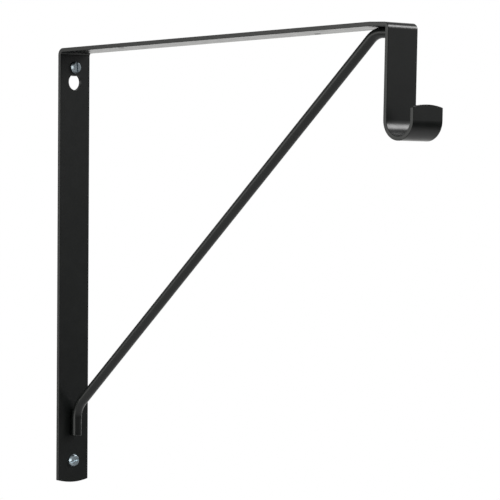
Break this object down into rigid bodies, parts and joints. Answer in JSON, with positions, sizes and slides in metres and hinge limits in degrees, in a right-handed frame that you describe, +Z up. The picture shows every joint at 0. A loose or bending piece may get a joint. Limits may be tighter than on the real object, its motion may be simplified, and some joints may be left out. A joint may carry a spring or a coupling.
{
  "type": "shelf and rod bracket",
  "caption": "Bent flat-bar wall bracket with a welded round brace: carries a shelf on its arm and a closet rod in the hook at its front.",
  "frame": {"origin": "on the wall plane, at the middle of the bar's width, half way between the wall screws", "axes": "+X out of the wall into the room, +Y along the wall, +Z up the wall"},
  "size_m": [0.339, 0.0254, 0.2962],
  "materials": {
    "black_coat": "smooth semi-gloss black coat over steel",
    "zinc_plating": "bright zinc plating, slightly blue"
  },
  "bodies": {
    "root": {"bracket_bar": "black_coat", "brace_rod": "black_coat", "mounting_screws": "zinc_plating"}
  },
  "joints": []
}
